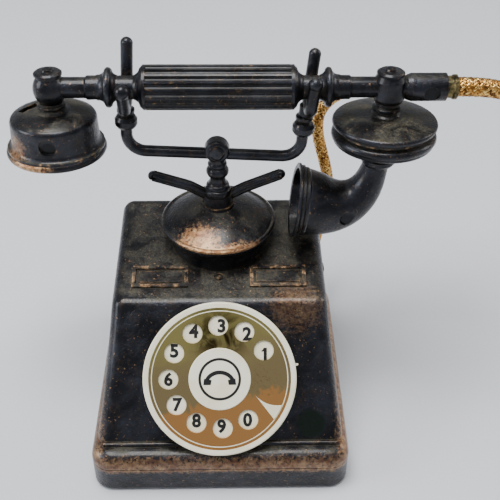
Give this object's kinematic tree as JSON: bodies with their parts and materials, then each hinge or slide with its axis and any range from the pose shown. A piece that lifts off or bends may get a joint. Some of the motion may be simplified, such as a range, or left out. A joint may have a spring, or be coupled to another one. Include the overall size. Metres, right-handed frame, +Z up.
{
  "type": "miniature rotary telephone",
  "caption": "Desk miniature of an antique cradle telephone: sloping base, turning dial, and a horn handset resting in forks.",
  "frame": {"origin": "centre of the base's flat underside", "axes": "+X along the handset towards its cord end, +Y towards the back, +Z up; the dial faces -Y and up"},
  "size_m": [0.0891, 0.0566, 0.066],
  "materials": {
    "antique_casting": "blue-black antique patina with copper wear on edges",
    "dark_steel": "dull zinc plate",
    "ivory_plastic": "moulded ivory",
    "gold_foil": "mirror gold hot-stamped foil",
    "old_brass": "tarnished",
    "bush_plastic": "black",
    "cord_braid": "metallic gold braid"
  },
  "bodies": {
    "base": {"base_housing": "antique_casting", "base_tray": "antique_casting", "tray_screws": "dark_steel", "bell_pedestal": "antique_casting", "bell_dome": "antique_casting", "carry_wings": "antique_casting", "pillar": "antique_casting", "cradle_bolt": "dark_steel", "cradle_washer": "dark_steel", "cradle_yoke": "antique_casting", "left_fork": "antique_casting", "right_fork": "antique_casting", "yoke_pin": "antique_casting", "cord_bush": "bush_plastic", "cord": "cord_braid"},
    "dial": {"dial_disc": "ivory_plastic", "dial_plate": "gold_foil", "dial_trim_ring": "gold_foil", "dial_centre": "ivory_plastic", "dial_stop": "ivory_plastic", "dial_spindle": "dark_steel", "dial_washer": "dark_steel", "dial_clip": "dark_steel"},
    "handset_rod": {"handset_core": "antique_casting"},
    "handset": {"grip_sleeve": "antique_casting", "left_ferrule": "antique_casting", "right_ferrule": "antique_casting", "receiver_arm": "antique_casting", "transmitter_arm": "antique_casting", "receiver_rivet": "antique_casting", "transmitter_rivet": "antique_casting", "receiver_case": "antique_casting", "receiver_cap": "antique_casting", "transmitter_case": "antique_casting", "transmitter_ring": "antique_casting", "horn_neck": "antique_casting", "mouthpiece_horn": "antique_casting", "mouthpiece_rim": "antique_casting", "cord_ferrule": "old_brass"}
  },
  "joints": [
    {"name": "dial_turn", "type": "hinge", "parent": "base", "child": "dial", "pos_m": [0, -0.012, 0.01719], "axis": [0, -0.7813, 0.6242], "continuous": true},
    {"name": "handset_lift", "type": "slide", "parent": "base", "child": "handset_rod", "axis": [0, 0, 1], "range_m": [0, 0.02]},
    {"name": "handset_roll", "type": "hinge", "parent": "handset_rod", "child": "handset", "pos_m": [0.00025, 0.011, 0.05965], "axis": [-1, 0, 0.0017], "range_deg": [0, 86]}
  ],
  "couplings": [
    {"joint": "handset_roll", "follows": "handset_lift", "rad_per_m": 75}
  ]
}
